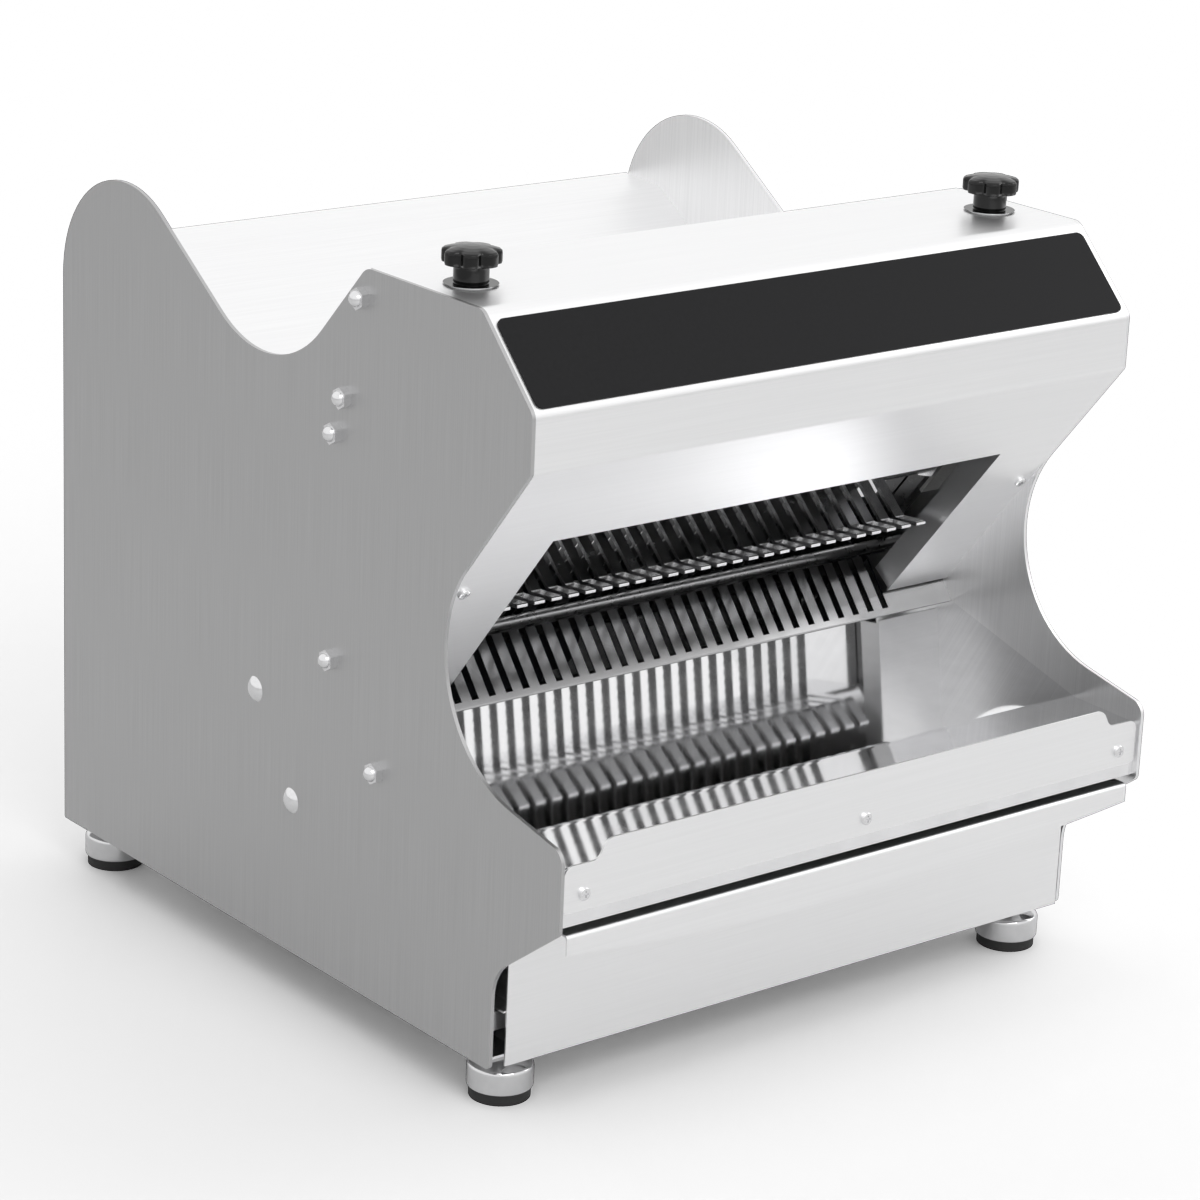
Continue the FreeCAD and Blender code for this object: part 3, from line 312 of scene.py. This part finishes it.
def give(material, *starts):
    """Put one finish on every node of the frame whose name starts with one of the words."""
    for name, node in NODES.items():
        if name.startswith(starts):
            node.data.materials.clear()
            node.data.materials.append(material)


class SLICER_OT_finishes(Operator):
    """Give every sheet, bar and bolt of the machine its finish"""
    bl_idname = "slicer.finishes"
    bl_label = "Finishes"
    bl_options = {"REGISTER", "UNDO"}

    def execute(self, context):
        look = settings().finish
        # Same steel on both side panels, toned apart: painted shade on the left, a lit tone on the
        # right.
        give(brushed("panel_steel", look.shaded_panel_grey, UPRIGHT), "left_side_panel")
        give(brushed("lit_panel_steel", look.lit_panel_grey, UPRIGHT), "right_side_panel")
        give(brushed("hood_steel", look.hood_grey, ACROSS, change=0.015), "lip_plate",
             "drawer_front")
        give(brushed("hopper_steel", look.hopper_grey, ACROSS, change=0.02), "chute",
             "hopper_front_wall", "rear_cover", "crumb_drawer", "base_plate", "motor_plate")
        give(plain_metal("polished_steel", grey=0.88, roughness=look.mirror, scale=40.0),
             "ramp_tray")
        give(plain_metal("comb_steel", grey=0.9, roughness=0.22, scale=60.0), "upper_comb")
        # The hood's inner face gets painted shade: a dark grey where shade falls inside the hood.
        hood = brushed("hood_cover_steel", look.hood_grey, ACROSS, change=0.015)
        give(paint_inside_shade(hood, colour=(0.3, 0.3, 0.3)), "hood_cover")
        give(plain_metal("lower_comb_steel", grey=0.42, roughness=0.16, scale=60.0),
             "lower_comb")
        give(plain_metal("blade_frame_steel", **BLADE_METAL), "blades_", "blade_frame_")
        give(moulded("dark_panel", (0.016, 0.016, 0.017), roughness=0.5, scale=300.0,
                     strength=0.01, specular=0.1), "hood_dark_panel")
        give(plain_metal("bright_fasteners", grey=0.8, roughness=0.16, scale=400.0), "wall_nuts",
             "tie_nuts", "bearing_bolts", "lip_screws", "knob_washers", "hood_screws")
        give(plain_metal("foot_chrome", grey=0.7, roughness=0.09, scale=120.0), "foot_front",
             "foot_rear")
        give(moulded("foot_rubber", BLACK, roughness=0.7, scale=900.0, strength=0.2),
             "foot_rubbers")
        give(moulded("belt_rubber", BLACK, roughness=0.6, scale=700.0, strength=0.2), "v_belt")
        give(moulded("motor_paint", (0.08, 0.09, 0.1), roughness=0.4, scale=300.0, strength=0.1),
             "motor_body")
        give(moulded("inlet_plastic", BLACK, roughness=0.45, scale=900.0), "mains_inlet")
        give(moulded("guide_plastic", (0.75, 0.75, 0.73), roughness=0.4, scale=900.0),
             "guide_rail")
        give(moulded("bearing_iron", (0.09, 0.095, 0.1), roughness=0.6, scale=500.0,
                     strength=0.3), "bearing_left", "bearing_right")
        give(plain_metal("machined_steel", grey=0.5, roughness=0.3, scale=200.0), "crank",
             "con_rod", "wrist_pin", "motor_pulley", "motor_shaft", "tie_rod", "drawer_rail",
             "knob_screw")
        return {"FINISHED"}


def add_mesh(name, points, quads, smooth):
    """Link a new object made of points and quads."""
    mesh = bpy.data.meshes.new(name)
    mesh.from_pydata(points.reshape(-1, 3).tolist(), [], quads.reshape(-1, 4).tolist())
    mesh.polygons.foreach_set("use_smooth", np.full(len(mesh.polygons), smooth))
    mesh.update()
    piece = bpy.data.objects.new(name, mesh)
    bpy.context.scene.collection.objects.link(piece)
    return piece


def ring_quads(rows, columns):
    """Quads between the rows of a grid whose rows are closed rings."""
    here = np.arange(rows * columns).reshape(rows, columns)
    onward = np.roll(here, -1, axis=1)
    return np.stack([here[:-1], onward[:-1], onward[1:], here[1:]], axis=-1).reshape(-1, 4)


def star_knob(name, node, body):
    """Moulded star knob as one surface of rings.

    The radius follows a half section from the neck up to the crown. Inside the cap it is cut by
    flutes: a cosine of the lobe count times the angle, flattened on the lobes by a power, scaled
    by how far the ring lies within the cap.
    """
    look = settings().knob
    low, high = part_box(node)
    middle = ((low[0] + high[0]) / 2, (low[1] + high[1]) / 2)
    cap = (high[0] - low[0]) / 2
    tall = high[2] - low[2]
    hub, neck, crown = cap * HUB_SHARE, look.neck, look.crown
    edge = tall - crown
    # Radius, height and share of the flutes, from the foot of the neck to the top of the crown.
    section = np.array([
        (0.02, 0, 0), (hub * 0.93, 0, 0), (hub, 0.0009, 0), (hub, neck - 0.0008, 0),
        (hub + 0.0006, neck, 0.15), (cap * 0.86, neck + 0.0004, 1),
        (cap * 0.98, neck + 0.0012, 1), (cap, neck + 0.0028, 1), (cap, edge - 0.0022, 1),
        (cap * 0.985, edge - 0.0006, 1), (cap * 0.93, edge + 0.0004, 0.85),
        (cap * 0.75, edge + crown * 0.5, 0.35), (cap * 0.5, edge + crown * 0.82, 0.06),
        (cap * 0.2, tall * 0.999, 0), (0.00001, tall, 0)])
    places = np.arange(len(section))
    fine = np.linspace(0, len(section) - 1, KNOB_RINGS)
    section = np.stack([np.interp(fine, places, column) for column in section.T], axis=1)
    angle = np.linspace(0, 2 * math.pi, KNOB_STEPS, endpoint=False)
    wave = (0.5 + 0.5 * np.cos(look.lobes * angle)) ** LOBE_POWER
    radius = section[:, :1] - section[:, 2:] * look.depth * wave[None, :]
    points = np.stack([middle[0] + radius * np.cos(angle), middle[1] + radius * np.sin(angle),
                       low[2] + np.repeat(section[:, 1:2], KNOB_STEPS, axis=1)], axis=-1)
    piece = add_mesh(name, points, ring_quads(KNOB_RINGS, KNOB_STEPS), smooth=True)
    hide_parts(node)
    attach(piece, body)
    return piece


class SLICER_OT_knobs(Operator):
    """Mould the two star knobs on the hood"""
    bl_idname = "slicer.knobs"
    bl_label = "Star knobs"
    bl_options = {"REGISTER", "UNDO"}

    def execute(self, context):
        plastic = moulded("knob_black", (0.006, 0.006, 0.006), roughness=0.12, scale=500.0,
                          strength=0.02, specular=0.35)
        for name, node, body in (("star_knob_left", "knob_left", "knob_l"),
                                 ("star_knob_right", "knob_right", "knob_r")):
            piece = star_knob(name, node, body)
            piece.data.materials.append(plastic)
        return {"FINISHED"}


def serrated_blades(name, node, body, first, trim_edge):
    """One frame's serrated blades, all on the middle plane between the two frames.

    Each blade is a five-sided section drawn along its length: a flat back, two sides and a ground
    edge. The edge lies back from the full width by the bite times the absolute sine of half a
    turn per scallop. Towards each end the side that meets the other frame draws in to a narrow
    tang by a smooth step. The first and last rows shrink to a point and close the ends.
    """
    look = settings().blade
    along = np.array([0, -math.cos(look.tilt), math.sin(look.tilt)])
    ahead = np.array([0, -math.sin(look.tilt), -math.cos(look.tilt)])
    sideways = np.array([1, 0, 0])
    travel = np.arange(look.start, look.end, look.scallop / SCALLOP_STEPS)
    travel = np.concatenate([travel[:1], travel, [look.end, look.end]])
    inward = np.minimum(travel - look.start, look.end - travel)
    full = np.clip((inward - look.tang) / TANG_BLEND, 0, 1)
    full = full * full * (3 - 2 * full)
    back = np.full_like(travel, look.wide / 2)
    edge = look.bite * np.abs(np.sin(math.pi * travel / look.scallop)) - look.wide / 2
    if trim_edge:
        edge = -look.clear + (edge + look.clear) * full
    else:
        back = look.clear + (back - look.clear) * full
    half = look.thick / 2
    # The ground bevel reaches three half thicknesses in from the edge.
    shoulder = edge + 3 * half
    open_rows = np.ones((len(travel), 1))
    open_rows[[0, -1]] = 0
    across = np.array([-half, half, half, 0, -half]) * open_rows
    middle = ((back + edge) / 2)[:, None]
    depth = np.stack([back, back, shoulder, edge, shoulder], axis=1)
    depth = middle + (depth - middle) * open_rows
    blade = (travel[:, None, None] * along + depth[..., None] * ahead
             + across[..., None] * sideways + np.array(look.home))
    places = first + look.pitch * np.arange(look.count)
    points = blade.reshape(1, -1, 3) + places[:, None, None] * sideways
    quads = ring_quads(*across.shape)[None] + (np.arange(look.count) * across.size)[:, None, None]
    piece = add_mesh(name, points, quads, smooth=False)
    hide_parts(node)
    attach(piece, body)
    return piece


class SLICER_OT_blades(Operator):
    """Grind the serrated blades of both frames"""
    bl_idname = "slicer.blades"
    bl_label = "Blades"
    bl_options = {"REGISTER", "UNDO"}

    def execute(self, context):
        look = settings().blade
        steel = plain_metal("blade_steel", **BLADE_METAL)
        # The blades of the two frames alternate, and the whole set is centred.
        first = -(2 * look.count - 1) / 4 * look.pitch
        second = first + look.pitch / 2
        for name, node, body, start, trim_edge in (
                ("serrated_blades_front", "blades_a", "blades_front", first, True),
                ("serrated_blades_back", "blades_b", "blades_back", second, False)):
            piece = serrated_blades(name, node, body, start, trim_edge)
            piece.data.materials.append(steel)
        return {"FINISHED"}


def softbox(name, place, size, power):
    """Rectangular softbox aimed at the machine."""
    lamp = bpy.data.lights.new(name, "AREA")
    lamp.shape = "RECTANGLE"
    lamp.size, lamp.size_y = size
    lamp.energy = power
    holder = bpy.data.objects.new(name, lamp)
    aim = Vector(LAMP_TARGET) - Vector(place)
    holder.rotation_euler = aim.to_track_quat("-Z", "Y").to_euler()
    holder.location = place
    bpy.context.scene.collection.objects.link(holder)


def pale_floor():
    """Pale floor as a wide sheet of rings that rises gently far from the machine."""
    rings = np.concatenate([[FLOOR_HOLE], np.geomspace(FLOOR_NEAR, FLOOR_RIM, FLOOR_RINGS)])
    angle = np.linspace(0, 2 * math.pi, FLOOR_STEPS, endpoint=False)
    rise = FLOOR_RISE * np.clip(rings - FLOOR_FLAT, 0, None) ** 2
    points = np.stack([rings[:, None] * np.cos(angle), rings[:, None] * np.sin(angle),
                       np.repeat(rise[:, None], FLOOR_STEPS, axis=1)], axis=-1)
    floor = add_mesh("studio_floor", points, ring_quads(len(rings), FLOOR_STEPS), smooth=True)
    pale = (0.9, 0.9, 0.9)
    material, tree, surface = shader("studio_floor", pale, metallic=0.0, roughness=0.6)
    tint(tree, surface, noise(tree, EVEN, scale=30.0), pale, change=0.01)
    floor.data.materials.append(material)
    floor.is_shadow_catcher = True


def background(tree, strength):
    """White background shader of a world."""
    node = tree.nodes.new("ShaderNodeBackground")
    node.inputs["Color"].default_value = (1, 1, 1, 1)
    node.inputs["Strength"].default_value = strength
    return node.outputs["Background"]


def room_light(strength):
    """White for the camera, mirrors and glass; an even grey that lights the rest."""
    world = bpy.data.worlds.new("studio_room")
    bpy.context.scene.world = world
    world.use_nodes = True
    tree = world.node_tree
    tree.nodes.clear()
    output = tree.nodes.new("ShaderNodeOutputWorld")
    mixer = tree.nodes.new("ShaderNodeMixShader")
    path = tree.nodes.new("ShaderNodeLightPath")
    kinds = path.outputs["Is Camera Ray"]
    for kind in ("Is Glossy Ray", "Is Transmission Ray"):
        kinds = calculate(tree, "MAXIMUM", kinds, path.outputs[kind])
    tree.links.new(kinds, mixer.inputs[0])
    tree.links.new(background(tree, strength), mixer.inputs[1])
    tree.links.new(background(tree, 1.0), mixer.inputs[2])
    tree.links.new(mixer.outputs["Shader"], output.inputs["Surface"])


def photo_camera(look):
    """Camera at the photograph's angle. Its turn comes from its heading, height and roll."""
    camera = bpy.data.cameras.new("photo_view")
    camera.lens = look.lens
    camera.sensor_width = SENSOR_WIDTH
    holder = bpy.data.objects.new("photo_view", camera)
    bpy.context.scene.collection.objects.link(holder)
    flat = math.cos(look.elevation)
    ahead = Vector((math.sin(look.azimuth) * flat, math.cos(look.azimuth) * flat,
                    -math.sin(look.elevation)))
    right = ahead.cross(Vector((0, 0, 1))).normalized()
    up = right.cross(ahead)
    across = math.cos(look.roll) * right + math.sin(look.roll) * up
    upward = -math.sin(look.roll) * right + math.cos(look.roll) * up
    turn = Matrix([(across[row], upward[row], -ahead[row]) for row in range(3)])
    holder.matrix_world = Matrix.Translation(look.place) @ turn.to_4x4()
    bpy.context.scene.camera = holder


class SLICER_OT_stage(Operator):
    """Set up the floor, the lights and the camera"""
    bl_idname = "slicer.stage"
    bl_label = "Studio"
    bl_options = {"REGISTER", "UNDO"}

    def execute(self, context):
        look = settings().studio
        bpy.context.scene.view_settings.view_transform = "Standard"
        pale_floor()
        room_light(look.room)
        softbox("key", place=(-0.6, -2.4, 2.6), size=(2.2, 1.6), power=look.key)
        softbox("fill", place=(2.4, -0.9, 1.6), size=(1.6, 1.6), power=look.fill)
        photo_camera(look)
        return {"FINISHED"}


class SLICER_PT_panel(Panel):
    """Sidebar panel with one button for each part of the looks"""
    bl_idname = "SLICER_PT_panel"
    bl_label = "Bread Slicer"
    bl_space_type = "VIEW_3D"
    bl_region_type = "UI"
    bl_category = "Slicer"

    def draw(self, context):
        for operator in OPERATORS:
            self.layout.operator(operator.bl_idname)


OPERATORS = (SLICER_OT_finishes, SLICER_OT_knobs, SLICER_OT_blades, SLICER_OT_stage)
CLASSES = (KnobSettings, BladeSettings, FinishSettings, StudioSettings, SlicerSettings,
           *OPERATORS, SLICER_PT_panel)


def register():
    for item in CLASSES:
        bpy.utils.register_class(item)
    bpy.types.Scene.slicer = PointerProperty(type=SlicerSettings)


def unregister():
    del bpy.types.Scene.slicer
    for item in reversed(CLASSES):
        bpy.utils.unregister_class(item)


def main():
    """Register the add-on, then build the looks in order."""
    register()
    bpy.ops.slicer.finishes()
    bpy.ops.slicer.knobs()
    bpy.ops.slicer.blades()
    bpy.ops.slicer.stage()


if __name__ == "__main__":
    main()
